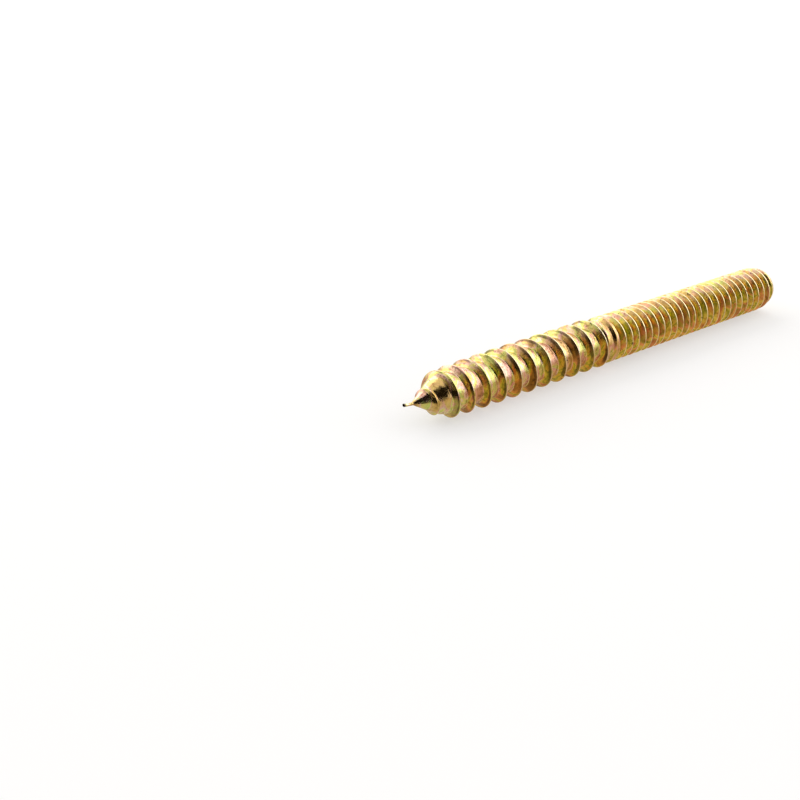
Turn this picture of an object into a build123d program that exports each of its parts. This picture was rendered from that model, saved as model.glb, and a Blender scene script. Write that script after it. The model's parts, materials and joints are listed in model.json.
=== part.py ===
from build123d import *
import math
import os

# Hanger bolt: one steel stud with a coarse right-hand wood thread and a point at one
# end, and a fine right-hand machine thread at the other. All sizes are in millimetres.
# The stud is built standing, with its tip at the origin and its axis along +Z, and is
# laid on its side at the end, as such a stud lies on a table.

# wood thread, ten turns to the inch, on a core that ends at the neck
WOOD_DIAMETER = 6.56
WOOD_CORE_DIAMETER = 4.8
WOOD_PITCH = 25.4 / 10
WOOD_CREST_WIDTH = 0.18
WOOD_FLANK_ANGLE = 30
WOOD_END_LENGTH = 31.6
RIDGE_FADE_TURNS = 0.25

# gimlet point, with the short wire left where the blank was pinched off
NIB_DIAMETER = 0.42
NIB_LENGTH = 1.4
POINT_HALF_ANGLE = 31

# the wood thread on the point: its first turns climb a little less, and its crests lie on
# a cone and then on a slight taper that ends where the thread has its full diameter
RIDGE_START_LENGTH = 2.04
RIDGE_START_ANGLE = 5
RIDGE_RISE_TURNS = 0.3
POINT_PITCH = 2.3
POINT_TURNS = 2.65
CREST_CONE_LENGTH = 5.5
CREST_CONE_DIAMETER = 6.2
FULL_THREAD_LENGTH = 14

# plain neck between the threads, as thick as the wire that the stud was rolled from
NECK_DIAMETER = 5.5
NECK_LENGTH = 0.8
NECK_CHAMFER_ANGLE = 45

# machine end, 1/4-20 UNC, at the major diameter of its thread, with a rounded end
MACHINE_DIAMETER = 6.2
MACHINE_LENGTH = 33.9
END_FACE_DIAMETER = 5.0
END_ROUND_LENGTH = 2.4

# how the ridge is made: spline points in each turn, and the share of the core's radius
# that the ridge reaches into the core, so that the two unite
POINTS_PER_TURN = 12
SINK = 0.12

# worked out from the sizes above
wood_radius = WOOD_DIAMETER / 2
core_radius = WOOD_CORE_DIAMETER / 2
machine_radius = MACHINE_DIAMETER / 2
neck_radius = NECK_DIAMETER / 2
nib_radius = NIB_DIAMETER / 2
crest_cone_radius = CREST_CONE_DIAMETER / 2
end_face_radius = END_FACE_DIAMETER / 2
flank_slope = math.tan(math.radians(WOOD_FLANK_ANGLE))
point_slope = math.tan(math.radians(POINT_HALF_ANGLE))
neck_slope = math.tan(math.radians(NECK_CHAMFER_ANGLE))

cone_end = NIB_LENGTH + (core_radius - nib_radius) / point_slope
neck_start = WOOD_END_LENGTH + (neck_radius - core_radius) / neck_slope
neck_end = neck_start + NECK_LENGTH
machine_start = neck_end + (machine_radius - neck_radius) / neck_slope
stud_length = machine_start + MACHINE_LENGTH
round_start = stud_length - END_ROUND_LENGTH
full_pitch_start = RIDGE_START_LENGTH + POINT_PITCH * POINT_TURNS
ridge_turns = POINT_TURNS + (neck_end - full_pitch_start) / WOOD_PITCH


def ease(share):
    """A smooth step from 0 to 1 as the share goes from 0 to 1."""
    share = min(max(share, 0), 1)
    return share * share * (3 - 2 * share)


def core_radius_at(height):
    """The wood end's core: the nib, then a cone up to the full radius."""
    return min(core_radius, nib_radius + max(height - NIB_LENGTH, 0) * point_slope)


def ridge_root_at(height):
    """The radius of the ridge's inner edges, just inside the core."""
    return core_radius_at(height) * (1 - SINK)


def crest_envelope_at(height):
    """The radius that the crests reach: a cone on the point, a slight taper, then full."""
    if height < CREST_CONE_LENGTH:
        share = (height - NIB_LENGTH) / (CREST_CONE_LENGTH - NIB_LENGTH)
        return nib_radius + (crest_cone_radius - nib_radius) * share
    share = (height - CREST_CONE_LENGTH) / (FULL_THREAD_LENGTH - CREST_CONE_LENGTH)
    return crest_cone_radius + (wood_radius - crest_cone_radius) * min(share, 1)


def ridge_crest_at(height):
    """The radius of the crest, which rises by the nib and runs out into the neck."""
    rise = ease((height - RIDGE_START_LENGTH) / (RIDGE_RISE_TURNS * POINT_PITCH))
    fade = ease((neck_end - height) / (RIDGE_FADE_TURNS * WOOD_PITCH))
    full_height = crest_envelope_at(height) - ridge_root_at(height)
    return ridge_root_at(height) + full_height * rise * fade


def root_half_width_at(height):
    """Half the ridge's width at its inner edges, from its flanks' angle."""
    return WOOD_CREST_WIDTH / 2 + (ridge_crest_at(height) - ridge_root_at(height)) * flank_slope


def ridge_middle_at(turn):
    """The height of the ridge's middle after so many turns."""
    if turn < POINT_TURNS:
        return RIDGE_START_LENGTH + POINT_PITCH * turn
    return full_pitch_start + WOOD_PITCH * (turn - POINT_TURNS)


def ridge_edge(first, last, radius_at, shift_at):
    """One long edge of the ridge between two turn counts, as a spline."""

    def place(turn):
        angle = math.radians(RIDGE_START_ANGLE) + 2 * math.pi * turn
        middle = ridge_middle_at(turn)
        height = middle + shift_at(middle)
        radius = radius_at(height)
        return Vector(radius * math.cos(angle), radius * math.sin(angle), height)

    def heading(turn):
        step = 1e-4
        return (place(turn + step) - place(turn - step)) / (2 * step)

    spans = max(4, round((last - first) * POINTS_PER_TURN))
    turns = [first + (last - first) * i / spans for i in range(spans + 1)]
    return Edge.make_spline(
        [place(turn) for turn in turns],
        tangents=[heading(first), heading(last)],
        parameters=turns,
        scale=False,
    )


def wood_ridge():
    """The wood thread: a ridge wound on the core from the nib to the neck.

    It is made about a turn at a time, because faces of one turn unite well with the core.
    """
    corners = [
        (ridge_root_at, lambda height: -root_half_width_at(height)),
        (ridge_crest_at, lambda height: -WOOD_CREST_WIDTH / 2),
        (ridge_crest_at, lambda height: WOOD_CREST_WIDTH / 2),
        (ridge_root_at, root_half_width_at),
    ]
    pieces = math.ceil(ridge_turns)
    breaks = [ridge_turns * i / pieces for i in range(pieces + 1)]
    faces = []
    for first, last in zip(breaks, breaks[1:]):
        edges = [ridge_edge(first, last, radius_at, shift_at) for radius_at, shift_at in corners]
        for edge, following in zip(edges, edges[1:] + edges[:1]):
            faces.append(Face.make_surface_from_curves(edge, following))
        if first == breaks[0]:
            faces.append(Face(Wire.make_polygon([edge @ 0 for edge in edges], close=True)))
        if last == breaks[-1]:
            faces.append(Face(Wire.make_polygon([edge @ 1 for edge in edges], close=True)))
    return Solid(Shell(faces))


def turned_stud():
    """The stud without its wood thread: nib, point, core, neck and machine end."""
    with BuildPart() as turned:
        with BuildSketch(Plane.XZ):
            with BuildLine():
                Polyline(
                    (0, stud_length),
                    (0, 0),
                    (nib_radius, 0),
                    (nib_radius, NIB_LENGTH),
                    (core_radius, cone_end),
                    (core_radius, WOOD_END_LENGTH),
                    (neck_radius, neck_start),
                    (neck_radius, neck_end),
                    (machine_radius, machine_start),
                    (machine_radius, round_start),
                )
                TangentArc(
                    (machine_radius, round_start), (end_face_radius, stud_length), tangent=(0, 1)
                )
                Line((end_face_radius, stud_length), (0, stud_length))
            make_face()
        revolve(axis=Axis.Z)
    return turned.part


stud = turned_stud() + wood_ridge()
lying_stud = Pos(-stud_length / 2, 0, wood_radius) * Rot(0, 90, 0) * stud
lying_stud.label = "hanger_bolt"

os.makedirs("parts", exist_ok=True)
export_step(lying_stud, "parts/hanger_bolt.step")
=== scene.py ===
import json
import math

import bpy
import numpy as np
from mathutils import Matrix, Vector


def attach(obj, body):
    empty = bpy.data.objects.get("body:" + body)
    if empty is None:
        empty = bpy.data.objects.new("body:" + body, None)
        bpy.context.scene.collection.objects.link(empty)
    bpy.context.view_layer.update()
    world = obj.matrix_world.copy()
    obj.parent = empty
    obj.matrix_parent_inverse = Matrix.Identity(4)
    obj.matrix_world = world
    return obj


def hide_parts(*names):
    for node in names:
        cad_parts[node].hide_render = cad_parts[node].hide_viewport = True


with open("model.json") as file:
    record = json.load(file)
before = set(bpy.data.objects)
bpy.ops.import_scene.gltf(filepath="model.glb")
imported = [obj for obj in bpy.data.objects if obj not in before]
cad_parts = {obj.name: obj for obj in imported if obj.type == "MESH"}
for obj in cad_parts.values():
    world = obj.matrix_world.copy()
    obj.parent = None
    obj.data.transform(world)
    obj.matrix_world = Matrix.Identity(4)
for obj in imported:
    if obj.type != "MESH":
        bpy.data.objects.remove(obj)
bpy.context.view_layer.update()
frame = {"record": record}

# Looks for the hanger bolt: one closed mesh with both threads, in yellow zinc plate, lying
# on a white table. Sizes are in millimetres until a place is handed to Blender. A point on
# the stud is given by its distance along the stud from the tip and its angle round the
# axis, which is 0 straight down and grows as a right-hand thread advances.
MM = 0.001
FULL_CIRCLE = 2 * math.pi

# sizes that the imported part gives
mounts = {mount["name"]: mount for mount in frame["record"]["mounts"]}
HALF_LENGTH = mounts["end_face"]["pos_m"][0] / MM
AXIS_HEIGHT = mounts["end_face"]["pos_m"][2] / MM
WOOD_RADIUS = mounts["wood_thread"]["dims"]["r_mm"]
MACHINE_RADIUS = mounts["machine_thread"]["dims"]["r_mm"]
STUD_LENGTH = 2 * HALF_LENGTH

# wood thread, as in the part's source
WOOD_CORE_RADIUS = 2.4
WOOD_PITCH = 25.4 / 10
WOOD_CREST_WIDTH = 0.18
WOOD_END_LENGTH = 31.6
RIDGE_FADE_TURNS = 0.25
SINK = 0.12

# point and neck, as in the part's source
NIB_RADIUS = 0.21
NIB_LENGTH = 1.4
POINT_SLOPE = math.tan(math.radians(31))
NECK_RADIUS = 2.75
NECK_LENGTH = 0.8
RIDGE_START_LENGTH = 2.04
RIDGE_START_ANGLE = math.radians(5)
RIDGE_RISE_TURNS = 0.3
POINT_PITCH = 2.3
POINT_TURNS = 2.65
CREST_CONE_LENGTH = 5.5
CREST_CONE_RADIUS = 3.1
FULL_THREAD_LENGTH = 14

# the machine end's flat face and rounding, as in the part's source
END_FACE_RADIUS = 2.5
END_ROUND_LENGTH = 2.4

# the nib's waist, and how far its end is bent up, which only this model has
NIB_WAIST_RADIUS = 0.175
NIB_RISE = 0.17

# machine thread, 1/4-20 UNC, which only this model has
MACHINE_PITCH = 25.4 / 20
GROOVE_DEPTH = 0.779
GROOVE_ROOT_WIDTH = 0.2
GROOVE_START = 33.17
GROOVE_START_ANGLE = math.radians(329)
GROOVE_RUN_IN_TURNS = 0.6

# how fast both threads' flanks rise, at 30 degrees to a plane across the stud
FLANK_SLOPE = 1 / math.tan(math.radians(30))

# how softly the metal turns where the point meets the core, and at a thread's crest and root
CONE_ROUND = 0.40
WOOD_CREST_ROUND = 0.10
WOOD_ROOT_ROUND = 0.12
MACHINE_CREST_ROUND = 0.05
MACHINE_ROOT_ROUND = 0.12

# how far the rolling lets the wood thread's crest sink, and the threads' middles wander
WOOD_CREST_WAVER = 0.03
WOOD_MIDDLE_WAVER = 0.02
MACHINE_MIDDLE_WAVER = 0.012
WAVER_RATES = (0.37, 0.83, 1.7, 3.1, 5.3)

# mesh grid: columns round the stud, and rows on either side of a thread's middle, as shares
# of its pitch, close together where the profile turns
COLUMNS = 120
WOOD_ROWS = (0, 0.02, 0.036, 0.055, 0.09, 0.14, 0.18, 0.21, 0.24, 0.27, 0.31, 0.37, 0.44)
MACHINE_ROWS = (0, 0.05, 0.07, 0.10, 0.25, 0.39, 0.44)

# the turns from a thread's own middle to the middle of its rows, and the turns of rows that
# are made past each end of a stretch, where the square cut takes them off
RIDGE_TO_ROWS = 0
GROOVE_TO_ROWS = 0.5
SPARE_TURNS = 2

# Plain rings take the place of the rows that follow a thread, round the neck and just before
# the machine end's face, at these distances from the tip. A gap is between two rings.
NECK_RINGS_START = 31.3
NECK_RINGS_END = 34.2
END_RINGS_START = 66.4
NIB_FACE_GAP = 0.08
NIB_GAP = 0.1
RING_GAP = 0.07
END_FACE_GAP = 0.25

# the place between root and crest that the plain neck and the flat end face count as
PLAIN_RELIEF = 0.5

neck_start = WOOD_END_LENGTH + NECK_RADIUS - WOOD_CORE_RADIUS
neck_end = neck_start + NECK_LENGTH
machine_start = neck_end + MACHINE_RADIUS - NECK_RADIUS
round_start = STUD_LENGTH - END_ROUND_LENGTH
full_pitch_start = RIDGE_START_LENGTH + POINT_PITCH * POINT_TURNS


# --- shape ---
def ease(share):
    """A smooth step from 0 to 1 as the share goes from 0 to 1."""
    share = np.clip(share, 0, 1)
    return share * share * (3 - 2 * share)


def rounded_max(a, b, size):
    """The larger of two heights, with the corner between them filled over that size."""
    return np.maximum(a, b) + np.maximum(size - abs(a - b), 0) ** 2 / (4 * size)


def rounded_min(a, b, size):
    """The smaller of two heights, with the corner between them cut over that size."""
    return -rounded_max(-a, -b, size)


def waver(turns, seed):
    """An uneven wave between about -1 and 1 along a thread, the same on every run."""
    chance = np.random.default_rng(seed)
    total = np.zeros_like(turns)
    for rate in WAVER_RATES:
        total += np.sin(FULL_CIRCLE * (rate * turns + chance.random())) / 3
    return np.clip(total, -1, 1)


def turned_radius(along):
    """The stud without its threads: nib, point, core, neck, machine end."""
    radius = np.interp(
        along, (WOOD_END_LENGTH, neck_start, neck_end, machine_start),
        (WOOD_CORE_RADIUS, NECK_RADIUS, NECK_RADIUS, MACHINE_RADIUS),
    )
    cone = NIB_RADIUS + np.maximum(along - NIB_LENGTH, 0) * POINT_SLOPE
    radius = rounded_min(radius, cone, CONE_ROUND)
    waist = 1 - np.clip(2 * along / NIB_LENGTH - 1, -1, 1) ** 2
    radius = radius - (NIB_RADIUS - NIB_WAIST_RADIUS) * waist
    drop = MACHINE_RADIUS - END_FACE_RADIUS
    bend = (drop ** 2 + END_ROUND_LENGTH ** 2) / (2 * drop)
    past = np.clip(along - round_start, 0, END_ROUND_LENGTH)
    return radius - bend + np.sqrt(bend ** 2 - past ** 2)


def ridge_middle(turns):
    """How far along the stud the wood thread's ridge is after so many turns."""
    past = np.asarray(turns) - POINT_TURNS
    return full_pitch_start + np.where(past < 0, POINT_PITCH, WOOD_PITCH) * past


def ridge_turns(along):
    """The turn count that the wood thread's ridge has at a distance along the stud."""
    past = np.asarray(along) - full_pitch_start
    return POINT_TURNS + past / np.where(past < 0, POINT_PITCH, WOOD_PITCH)


def groove_middle(turns):
    """How far along the stud the machine thread's groove is after so many turns."""
    return GROOVE_START + MACHINE_PITCH * turns


def groove_turns(along):
    """The turn count that the machine thread's groove has at a distance along the stud."""
    return (along - GROOVE_START) / MACHINE_PITCH


def nearest_turn(turns, angle, start_angle):
    """The turn count on the nearest middle line of a thread to a point."""
    past = turns - (angle - start_angle) / FULL_CIRCLE
    return turns - (past - np.round(past))


def wood_surface(along, angle, base):
    """The radius and the relief with the wood thread's ridge raised on the base."""
    turns = nearest_turn(ridge_turns(along), angle, RIDGE_START_ANGLE)
    middle = ridge_middle(turns)
    under = np.minimum(turned_radius(middle), WOOD_CORE_RADIUS) * (1 - SINK)
    rise = ease(turns / RIDGE_RISE_TURNS)
    fade = ease((neck_end - middle) / (RIDGE_FADE_TURNS * WOOD_PITCH))
    full = np.interp(
        middle, (NIB_LENGTH, CREST_CONE_LENGTH, FULL_THREAD_LENGTH),
        (NIB_RADIUS, CREST_CONE_RADIUS, WOOD_RADIUS),
    )
    full = full - WOOD_CREST_WAVER * (1 + waver(turns, seed=1)) / 2
    crest = under + (full - under) * rise * fade
    shift = WOOD_MIDDLE_WAVER * waver(turns, seed=2)
    away = abs(along - middle + shift) - WOOD_CREST_WIDTH / 2
    ridge = rounded_min(crest, crest - away * FLANK_SLOPE, WOOD_CREST_ROUND)
    radius = rounded_max(base, ridge, WOOD_ROOT_ROUND)
    return radius, (radius - base) / (WOOD_RADIUS - WOOD_CORE_RADIUS)


def machine_surface(along, angle, base):
    """The radius and the relief with the machine thread's groove cut into the base."""
    turns = nearest_turn(groove_turns(along), angle, GROOVE_START_ANGLE)
    depth = GROOVE_DEPTH * ease(turns / GROOVE_RUN_IN_TURNS)
    shift = MACHINE_MIDDLE_WAVER * waver(turns, seed=3)
    away = abs(along - groove_middle(turns) + shift) - GROOVE_ROOT_WIDTH / 2
    root = MACHINE_RADIUS - depth
    groove = rounded_max(root, root + away * FLANK_SLOPE, MACHINE_ROOT_ROUND)
    radius = rounded_min(base, groove, MACHINE_CREST_ROUND)
    return radius, np.where(turns < 0, PLAIN_RELIEF, 1 - (base - radius) / GROOVE_DEPTH)


def stud_surface(along, angle):
    """The stud's radius at a point, and its relief, from 0 at a thread's root to 1 at a crest."""
    base = turned_radius(along)
    wood, wood_relief = wood_surface(along, angle, base)
    machine, machine_relief = machine_surface(along, angle, base)
    on_machine = along > neck_end
    radius = np.where(on_machine, machine, wood)
    return radius, np.where(on_machine, machine_relief, wood_relief)


# --- mesh ---
def helical_cells(middle_at, turns_at, start_angle, rows, shift, low, high):
    """Cells whose rows follow a thread, cut off square at two distances along the stud.

    The shift is the share of a turn from the thread's own middle to the middle of the rows.
    """
    phases = np.array(sorted({-0.5, 0.5} | set(rows) | {-row for row in rows})) + shift
    start = start_angle / FULL_CIRCLE
    first = math.floor((turns_at(low) + start - SPARE_TURNS) * COLUMNS)
    last = math.ceil((turns_at(high) + start + SPARE_TURNS) * COLUMNS)
    column = np.arange(first, last + 1)[:, None]
    along = np.clip(middle_at(column / COLUMNS - start + phases), low, high)
    return cells_of(np.broadcast_to(column % COLUMNS, along.shape), along)


def ring_cells(low, high, gap):
    """Cells between plain rings, about a gap apart, from one distance to another."""
    rings = np.linspace(low, high, max(2, round((high - low) / gap) + 1))
    column = np.arange(COLUMNS + 1)[:, None] % COLUMNS
    along = np.broadcast_to(rings, (COLUMNS + 1, len(rings)))
    return cells_of(np.broadcast_to(column, along.shape), along)


def cells_of(column, along):
    """The four corners of each cell of a grid, in the order that faces the cell outwards."""
    points = np.stack([column, along], axis=-1)
    corners = [points[:-1, :-1], points[1:, :-1], points[1:, 1:], points[:-1, 1:]]
    return np.stack(corners, axis=2).reshape(-1, 4, 2)


def stud_points(column, station):
    """Places and reliefs. Stations below 0 and past the length are rings on the end faces."""
    along = np.clip(station, 0, STUD_LENGTH)
    angle = FULL_CIRCLE * column / COLUMNS
    radius, relief = stud_surface(along, angle)
    radius = radius * (1 - np.maximum(-station, 0) / NIB_RADIUS)
    radius = radius * (1 - np.maximum(station - STUD_LENGTH, 0) / END_FACE_RADIUS)
    relief = np.where(station > STUD_LENGTH, PLAIN_RELIEF, relief)
    x = along - HALF_LENGTH
    y = radius * np.sin(angle)
    z = AXIS_HEIGHT - radius * np.cos(angle)
    z = z + NIB_RISE * np.clip(1 - along / NIB_LENGTH, 0, 1) ** 2
    return np.stack([x, y, z], axis=-1), relief


def build_stud():
    """One closed mesh: the cells of each stretch, joined along the rings that they share."""
    nib_centre = -NIB_RADIUS
    end_centre = STUD_LENGTH + END_FACE_RADIUS
    cells = np.concatenate([
        ring_cells(nib_centre, 0, NIB_FACE_GAP),
        ring_cells(0, NIB_LENGTH, NIB_GAP),
        helical_cells(
            ridge_middle, ridge_turns, RIDGE_START_ANGLE, WOOD_ROWS, RIDGE_TO_ROWS,
            NIB_LENGTH, NECK_RINGS_START,
        ),
        ring_cells(NECK_RINGS_START, NECK_RINGS_END, RING_GAP),
        helical_cells(
            groove_middle, groove_turns, GROOVE_START_ANGLE, MACHINE_ROWS, GROOVE_TO_ROWS,
            NECK_RINGS_END, END_RINGS_START,
        ),
        ring_cells(END_RINGS_START, STUD_LENGTH, RING_GAP),
        ring_cells(STUD_LENGTH, end_centre, END_FACE_GAP),
    ])
    # Corners are rounded so that shared ones are equal, and each end face closes in one point.
    corners = np.round(cells.reshape(-1, 2), 6)
    centres = (corners[:, 1] <= nib_centre) | (corners[:, 1] >= end_centre)
    corners[centres, 0] = 0
    points, index = np.unique(corners, axis=0, return_inverse=True)
    places, relief = stud_points(points[:, 0], points[:, 1])
    faces = []
    for cell in index.reshape(-1, 4).tolist():
        face = [corner for i, corner in enumerate(cell) if corner != cell[i - 1]]
        if len(face) > 2:
            faces.append(face)
    return places, faces, relief


def make_mesh(name, places, faces):
    """An object in the scene, from places in millimetres."""
    mesh = bpy.data.meshes.new(name)
    mesh.from_pydata((np.asarray(places) * MM).tolist(), [], faces)
    mesh.validate()
    piece = bpy.data.objects.new(name, mesh)
    bpy.context.scene.collection.objects.link(piece)
    return piece


# --- materials ---
# Yellow zinc over steel, by how strongly it mirrors red, green and blue light. There are
# three films, and the tint of each wanders along its list: a pale one on most of the wood
# end and along the top, a deep one on the flanks that face the tip, and one in the machine
# thread. Which film shows is partly painted light: the darker deep and machine films are
# painted shade lower down, and the pale one is the lit top.
LIT_PALE_FILM = (
    (0.00, (0.60, 0.35, 0.16, 1)), (0.18, (0.74, 0.50, 0.17, 1)), (0.32, (0.80, 0.43, 0.35, 1)),
    (0.43, (0.80, 0.58, 0.42, 1)), (0.54, (0.78, 0.65, 0.22, 1)), (0.65, (0.58, 0.64, 0.18, 1)),
    (0.74, (0.78, 0.63, 0.22, 1)), (0.86, (0.80, 0.45, 0.34, 1)), (1.00, (0.60, 0.33, 0.16, 1)),
)
SHADED_DEEP_FILM = (
    (0.00, (0.26, 0.13, 0.02, 1)), (0.18, (0.62, 0.28, 0.05, 1)), (0.36, (0.66, 0.47, 0.05, 1)),
    (0.50, (0.36, 0.34, 0.03, 1)), (0.64, (0.66, 0.52, 0.06, 1)), (0.80, (0.68, 0.31, 0.10, 1)),
    (1.00, (0.30, 0.16, 0.03, 1)),
)
SHADED_MACHINE_FILM = (
    (0.00, (0.66, 0.26, 0.10, 1)), (0.18, (0.78, 0.48, 0.09, 1)), (0.34, (0.82, 0.68, 0.12, 1)),
    (0.48, (0.40, 0.42, 0.05, 1)), (0.62, (0.80, 0.66, 0.12, 1)), (0.78, (0.82, 0.36, 0.14, 1)),
    (0.90, (0.44, 0.36, 0.06, 1)), (1.00, (0.60, 0.26, 0.10, 1)),
)
# paler crests: partly wear, and partly a painted highlight along the crest
CREST_WEAR_AND_HIGHLIGHT = (0.78, 0.66, 0.42, 1)
MACHINE_CREST_WEAR_AND_HIGHLIGHT = (0.86, 0.71, 0.40, 1)
# the dark of the pits, of the nib end, and of the painted dark reflections on the flanks
PIT_AND_PAINTED_REFLECTION_DARK = (0.05, 0.035, 0.02, 1)

# colours that the film's own is multiplied by: a painted highlight on the machine thread's
# upper shoulder, painted shade in its grooves, a painted reflection that makes the point's
# underside paler and greener, and a random mottle
PAINTED_SHOULDER_HIGHLIGHT = (1.3, 1.25, 1.0, 1)
PAINTED_GROOVE_SHADE = (0.72, 0.70, 0.62, 1)
UNDERSIDE_PAINTED_REFLECTION = (0.97, 1.24, 1.30, 1)
MOTTLE = (
    (0.28, (0.55, 0.47, 0.36, 1)), (0.50, (1, 1, 1, 1)), (0.72, (1.22, 1.22, 1.18, 1)),
)

# how noises are stretched, as scales along and across the stud: less across makes streaks
# that run round it
ROLLED = (1.0, 0.4, 0.4)
STREAKED = (1.0, 0.2, 0.2)
DRAWN = (1.0, 0.15, 0.15)
MOTTLED = (1.0, 0.6, 0.6)

# Soft edges, each from where it starts to where it is complete. An X is a distance in
# millimetres from the middle of the stud towards its machine end, and a Z is a height
# above the floor. A RELIEF is 0 at a thread's root and 1 at its crest. A FACING is the share
# of the surface's direction along X, and is -1 where it faces the tip. Two pairs make a band.
MACHINE_X = (-0.4, 0.4)
NIB_END_X = (-33.1, -33.4)
POINT_X = (-25, -28)
PAST_POINT_X = (-28, -25)
SHADED_FILM_X = (-30, -24)
NECK_X = ((-2.3, -1.9), (0.2, -0.2))
SHADED_FILM_Z = (6.2, 4.6)
SHOULDER_Z = ((4.2, 5.0), (6.1, 5.6))
UNDERSIDE_Z = (4.2, 2.8)
DARK_BELT_Z = ((1.2, 2.4), (5.0, 3.8))
DARK_Z = (0.8, 2.2)
GROOVE_RELIEF = (0.55, 0.1)
DARK_RELIEF = (0.35, 0.75)
CREST_WEAR_AND_HIGHLIGHT_RELIEF = (0.92, 1.0)
TIPWARD_FACING = (-0.5, -0.8)


def new_material(name):
    """An empty material and its node tree."""
    material = bpy.data.materials.new(name)
    material.use_nodes = True
    material.node_tree.nodes.clear()
    return material, material.node_tree


def add(tree, kind, inputs=None, **settings):
    """Adds a node, sets its settings, and sets or links its inputs."""
    made = tree.nodes.new(kind)
    for key, value in settings.items():
        setattr(made, key, value)
    for key, value in (inputs or {}).items():
        if isinstance(value, bpy.types.NodeSocket):
            tree.links.new(value, made.inputs[key])
        else:
            made.inputs[key].default_value = value
    return made


def noise(tree, place, scale, detail=3, roughness=0.5, stretch=(1, 1, 1), shift=0, flow=0.0):
    """A value from 0 to 1 that varies over the piece. The scale is in features per metre."""
    moved = add(
        tree, "ShaderNodeMapping",
        {"Vector": place, "Scale": stretch, "Location": (shift, shift, shift)},
    )
    made = add(
        tree, "ShaderNodeTexNoise",
        {"Vector": moved.outputs[0], "Scale": scale, "Detail": detail, "Roughness": roughness,
         "Distortion": flow},
    )
    return made.outputs["Fac"]


def step(tree, value, low, high, bottom=0.0, top=1.0):
    """A smooth step of the value from one level to another."""
    made = add(
        tree, "ShaderNodeMapRange",
        {"Value": value, "From Min": low, "From Max": high, "To Min": bottom, "To Max": top},
        interpolation_type="SMOOTHSTEP",
    )
    return made.outputs["Result"]


def edge(tree, distance, limits, bottom=0.0, top=1.0):
    """A soft edge between two distances in millimetres."""
    start, end = limits
    return step(tree, distance, start * MM, end * MM, bottom, top)


def band(tree, distance, edges):
    """1 between two soft edges, and 0 outside."""
    return product(tree, *[edge(tree, distance, limits) for limits in edges])


def math_node(tree, operation, first, second):
    return add(tree, "ShaderNodeMath", {0: first, 1: second}, operation=operation).outputs[0]


def product(tree, first, second):
    return math_node(tree, "MULTIPLY", first, second)


def sum_of(tree, first, second):
    return math_node(tree, "ADD", first, second)


def larger(tree, first, second):
    return math_node(tree, "MAXIMUM", first, second)


def mix(tree, share, first, second, blend="MIX"):
    """Two colours mixed by a share, where 0 is the first."""
    made = add(tree, "ShaderNodeMix", data_type="RGBA", blend_type=blend)
    for socket, value in ((0, share), (6, first), (7, second)):
        if isinstance(value, bpy.types.NodeSocket):
            tree.links.new(value, made.inputs[socket])
        else:
            made.inputs[socket].default_value = value
    return made.outputs[2]


def ramp(tree, value, stops):
    """Colours that blend along a value from 0 to 1, as a list of places and colours."""
    made = add(tree, "ShaderNodeValToRGB", {"Fac": value})
    made.color_ramp.interpolation = "EASE"
    elements = made.color_ramp.elements
    while len(elements) < len(stops):
        elements.new(0.5)
    for element, (position, tint) in zip(elements, stops):
        element.position = position
        element.color = tint
    return made.outputs["Color"]


def film_tint_with_painted_light(tree, place, along, height, relief, flank, machine):
    """The three films, with painted light: the deeper films as painted shade lower down and on
    the tipward flanks, a painted highlight on the machine thread's upper shoulder, painted
    shade in its grooves, and a painted reflection that makes the point's underside paler and
    greener.
    """
    pale = step(tree, noise(tree, place, 480, stretch=ROLLED, flow=0.7), 0.3, 0.7)
    deep = step(tree, noise(tree, place, 600, stretch=ROLLED, shift=3, flow=0.7), 0.32, 0.68)
    low = edge(tree, height, SHADED_FILM_Z, bottom=0.15)
    low = product(tree, low, edge(tree, along, SHADED_FILM_X, bottom=0.35))
    rich = mix(tree, machine, ramp(tree, deep, SHADED_DEEP_FILM), ramp(tree, deep, SHADED_MACHINE_FILM))
    # painted shade: the deep and machine films take over lower down and on the flanks that face
    # the tip, and the pale film, the lit side, stays on top
    painted_shade_share = product(tree, larger(tree, flank, machine), low)
    tint = mix(tree, painted_shade_share, ramp(tree, pale, LIT_PALE_FILM), rich)
    # painted highlight: the machine thread brighter in a band along its upper shoulder
    shoulder = product(tree, band(tree, height, SHOULDER_Z), machine)
    tint = mix(tree, shoulder, tint, PAINTED_SHOULDER_HIGHLIGHT, blend="MULTIPLY")
    # painted shade: the machine thread darker towards the roots of its grooves
    groove = product(tree, step(tree, relief, *GROOVE_RELIEF), machine)
    tint = mix(tree, groove, tint, PAINTED_GROOVE_SHADE, blend="MULTIPLY")
    # painted reflection: low on the point, its underside paler and greener
    under_point = product(tree, edge(tree, along, POINT_X), edge(tree, height, UNDERSIDE_Z))
    return mix(tree, under_point, tint, UNDERSIDE_PAINTED_REFLECTION, blend="MULTIPLY")


def painted_reflection_streaks_and_dark_nib(tree, tint, place, along, height, relief, flank):
    """Painted dark reflections: streaks on the flanks that face the tip, mostly near the crest
    and in a belt of heights; and a dark nib end.
    """
    streak = noise(tree, place, 1500, detail=4, roughness=0.6, stretch=STREAKED, shift=7)
    streak = sum_of(tree, streak, step(tree, relief, *DARK_RELIEF, bottom=-0.18, top=0.08))
    streak = sum_of(tree, streak, product(tree, band(tree, height, DARK_BELT_Z), 0.08))
    dark = product(tree, step(tree, streak, 0.46, 0.66, top=0.75), flank)
    dark = product(tree, dark, edge(tree, height, DARK_Z, bottom=0.2))
    dark = product(tree, dark, edge(tree, along, MACHINE_X, bottom=1.0, top=0.1))
    # painted dark reflections on the flanks that face the tip, weaker near the floor and on the
    # machine thread
    tint = mix(tree, dark, tint, PIT_AND_PAINTED_REFLECTION_DARK)
    return mix(tree, edge(tree, along, NIB_END_X, top=0.85), tint, PIT_AND_PAINTED_REFLECTION_DARK)


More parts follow.
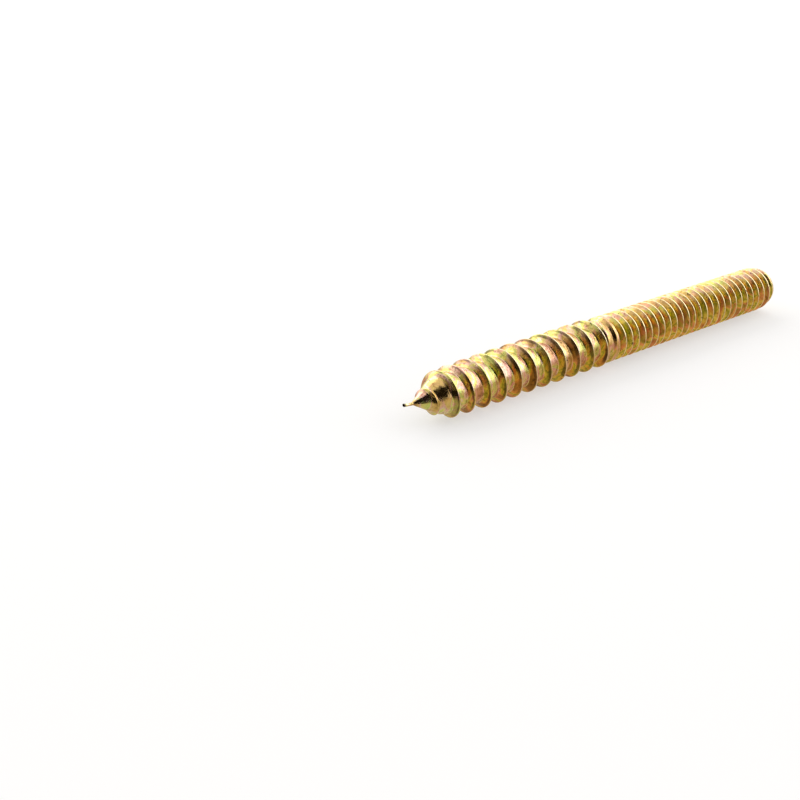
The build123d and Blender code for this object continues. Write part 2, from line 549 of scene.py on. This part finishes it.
def wear_and_crest_highlight(tree, tint, place, relief, machine):
    """Paler crests, partly wear and partly a painted highlight, a fine mottle, and a few pits."""
    crest = mix(tree, machine, CREST_WEAR_AND_HIGHLIGHT, MACHINE_CREST_WEAR_AND_HIGHLIGHT)
    # paler crests, partly wear and partly a painted highlight
    tint = mix(tree, step(tree, relief, *CREST_WEAR_AND_HIGHLIGHT_RELIEF), tint, crest)
    mottle = noise(tree, place, 2600, detail=4, roughness=0.65, stretch=MOTTLED, shift=5)
    tint = mix(tree, 1.0, tint, ramp(tree, mottle, MOTTLE), blend="MULTIPLY")
    pit = step(tree, noise(tree, place, 2400, detail=4, shift=11, flow=0.5), 0.68, 0.72)
    return mix(tree, pit, tint, PIT_AND_PAINTED_REFLECTION_DARK)


def roughness_of(tree, place, along, flank, machine):
    """The roughness, which is higher in the machine thread and on the tipward flanks."""
    rough = step(tree, noise(tree, place, 900, shift=5), 0.35, 0.7, bottom=0.14, top=0.30)
    dull_flank = product(tree, flank, edge(tree, along, PAST_POINT_X, top=0.5))
    rolled = larger(tree, machine, dull_flank)
    return sum_of(tree, rough, product(tree, rolled, 0.14))


def fine_marks(tree, place, along):
    """A bump of grain and of drawn marks that run round the stud, stronger on the neck."""
    grain = noise(tree, place, 1500, detail=5, roughness=0.6, stretch=ROLLED)
    drawn = noise(tree, place, 3500, detail=3, roughness=0.6, stretch=DRAWN, shift=9)
    drawn_share = step(tree, band(tree, along, NECK_X), 0, 1, bottom=0.35, top=1.3)
    grain = sum_of(tree, grain, product(tree, drawn, drawn_share))
    bump = add(tree, "ShaderNodeBump", {"Height": grain, "Strength": 0.7, "Distance": 0.09 * MM})
    return bump.outputs[0]


def yellow_zinc():
    """The plating: its films, with painted shade, highlights and dark reflections, its wear
    and painted crest highlight, its roughness and its fine marks.
    """
    material, tree = new_material("yellow_zinc")
    coordinates = add(tree, "ShaderNodeTexCoord")
    place = coordinates.outputs["Object"]
    relief = add(tree, "ShaderNodeAttribute", attribute_name="relief").outputs["Fac"]
    along, _, height = add(tree, "ShaderNodeSeparateXYZ", {0: place}).outputs
    facing = add(tree, "ShaderNodeSeparateXYZ", {0: coordinates.outputs["Normal"]}).outputs[0]
    flank = step(tree, facing, *TIPWARD_FACING)
    machine = edge(tree, along, MACHINE_X)

    tint = film_tint_with_painted_light(tree, place, along, height, relief, flank, machine)
    # painted dark reflections on the tipward flanks, and a dark nib end
    tint = painted_reflection_streaks_and_dark_nib(tree, tint, place, along, height, relief, flank)
    tint = wear_and_crest_highlight(tree, tint, place, relief, machine)
    rough = roughness_of(tree, place, along, flank, machine)
    bump = fine_marks(tree, place, along)
    shader = add(
        tree, "ShaderNodeBsdfPrincipled",
        {"Base Color": tint, "Metallic": 1.0, "Roughness": rough, "Normal": bump},
    )
    add(tree, "ShaderNodeOutputMaterial", {"Surface": shader.outputs[0]})
    return material


places, faces, relief = build_stud()
stud = make_mesh("hanger_bolt_threaded", places, faces)
stud.data.attributes.new("relief", "FLOAT", "POINT").data.foreach_set("value", relief)
stud.data.polygons.foreach_set("use_smooth", [True] * len(stud.data.polygons))
stud.data.materials.append(yellow_zinc())
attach(stud, "root")
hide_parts("hanger_bolt")


# --- stage, lights and camera ---
def seen_directly(tree):
    """1 for rays from the camera, in a mirror or through glass, and 0 for other rays."""
    path = add(tree, "ShaderNodeLightPath").outputs
    mirrored = larger(tree, path["Is Glossy Ray"], path["Is Transmission Ray"])
    return larger(tree, path["Is Camera Ray"], mirrored)


FLOOR_SIZE = 1200
FLOOR_COLOUR = (0.95, 0.93, 0.91, 1)
FLOOR_GLOW_SHARE = 0.5
FILL_LIGHT = 0.68
LAMP_DISTANCE = 700
CARD_DISTANCE = 500
WHITE = (1, 1, 1, 1)
BLACK = (0.015, 0.012, 0.01, 1)
DARK_BROWN = (0.11, 0.08, 0.055, 1)
BROWN = (0.64, 0.50, 0.37, 1)


def flat_sheet(name, width, height):
    """A rectangle round the origin, lying flat."""
    corners = [(-width, -height), (width, -height), (width, height), (-width, height)]
    return make_mesh(name, [(x / 2, y / 2, 0) for x, y in corners], [(0, 1, 2, 3)])


def white_floor():
    """A floor that partly glows where it is seen, so that it is white and has its shadow."""
    material, tree = new_material("white_floor")
    diffuse = add(tree, "ShaderNodeBsdfDiffuse", {"Color": FLOOR_COLOUR})
    glow = add(tree, "ShaderNodeEmission", {"Color": WHITE, "Strength": 1.0})
    share = product(tree, seen_directly(tree), FLOOR_GLOW_SHARE)
    shown = add(tree, "ShaderNodeMixShader", {0: share, 1: diffuse.outputs[0], 2: glow.outputs[0]})
    add(tree, "ShaderNodeOutputMaterial", {"Surface": shown.outputs[0]})
    return material


def white_world():
    """A world that is white where it is seen, and a fainter fill where it only lights."""
    world = bpy.data.worlds.new("studio")
    world.use_nodes = True
    tree = world.node_tree
    tree.nodes.clear()
    level = step(tree, seen_directly(tree), 0, 1, FILL_LIGHT, 1.0)
    sky = add(tree, "ShaderNodeBackground", {"Color": WHITE, "Strength": level})
    add(tree, "ShaderNodeOutputWorld", {"Surface": sky.outputs[0]})
    return world


floor = flat_sheet("floor", FLOOR_SIZE, FLOOR_SIZE)
floor.data.materials.append(white_floor())
bpy.context.scene.world = white_world()


def direction(azimuth, elevation):
    """The unit vector towards a compass angle from +X and an angle above the floor."""
    turn = math.radians(azimuth)
    rise = math.radians(elevation)
    level = math.cos(rise)
    return Vector((level * math.cos(turn), level * math.sin(turn), math.sin(rise)))


def facing_centre(piece, towards, distance):
    """Puts a lamp or a card at a distance from the floor under the stud's middle, facing it."""
    piece.location = towards * distance * MM
    piece.rotation_euler = (-towards).to_track_quat("-Z", "Y").to_euler()


def softbox(name, azimuth, elevation, width, height, brightness):
    """A lamp whose face looks so many times as bright as the lit white floor."""
    lamp = bpy.data.lights.new(name, "AREA")
    lamp.shape = "RECTANGLE"
    lamp.size = width * MM
    lamp.size_y = height * MM
    lamp.energy = brightness * math.pi * lamp.size * lamp.size_y
    made = bpy.data.objects.new(name, lamp)
    facing_centre(made, direction(azimuth, elevation), LAMP_DISTANCE)
    bpy.context.scene.collection.objects.link(made)


def card(name, width, height, tint):
    """A flat card that only shows in the metal, as a dark flag does in a studio."""
    material, tree = new_material(name)
    glow = add(tree, "ShaderNodeEmission", {"Color": tint, "Strength": 1.0})
    add(tree, "ShaderNodeOutputMaterial", {"Surface": glow.outputs[0]})
    made = flat_sheet(name, width, height)
    made.data.materials.append(material)
    made.visible_camera = False
    made.visible_diffuse = False
    made.visible_shadow = False
    return made


def standing_card(name, azimuth, elevation, width, height, tint):
    """A card that faces the floor under the stud's middle."""
    facing_centre(card(name, width, height, tint), direction(azimuth, elevation), CARD_DISTANCE)


def lying_card(name, place, width, height, tint):
    """A card that lies flat just above the floor."""
    card(name, width, height, tint).location = Vector(place) * MM


# one soft box behind the stud, and one past its machine end
softbox("back_softbox", 92, 34, width=1300, height=600, brightness=1.4)
softbox("machine_end_softbox", -14, 32, width=1040, height=640, brightness=1.25)

# a low card before the point and a large one on the camera's side, which the metal mirrors
standing_card("point_side_card", 180, 8, 580, 240, DARK_BROWN)
standing_card("camera_side_card", -124, 31, 800, 740, BLACK)

# what the metal mirrors of the floor: brown under the whole stud, black before the point
lying_card("floor_card", (-15, -36, 0.02), 330, 194, BROWN)
lying_card("dark_floor_card", (-98, -34, 0.04), 128, 96, BLACK)

# The camera stands off the point's end of the stud and looks down on it.
CAMERA_PLACE = (-119.7, -104.6, 64.7)
CAMERA_FORWARD = (0.5785, 0.7063, -0.4080)
CAMERA_LENS = 58.0
camera = bpy.data.objects.new("camera", bpy.data.cameras.new("camera"))
camera.data.lens = CAMERA_LENS
camera.location = Vector(CAMERA_PLACE) * MM
camera.rotation_euler = Vector(CAMERA_FORWARD).to_track_quat("-Z", "Y").to_euler()
camera.data.clip_start = 0.01
camera.data.clip_end = 10
bpy.context.scene.collection.objects.link(camera)
bpy.context.scene.camera = camera
bpy.context.scene.view_settings.view_transform = "Standard"
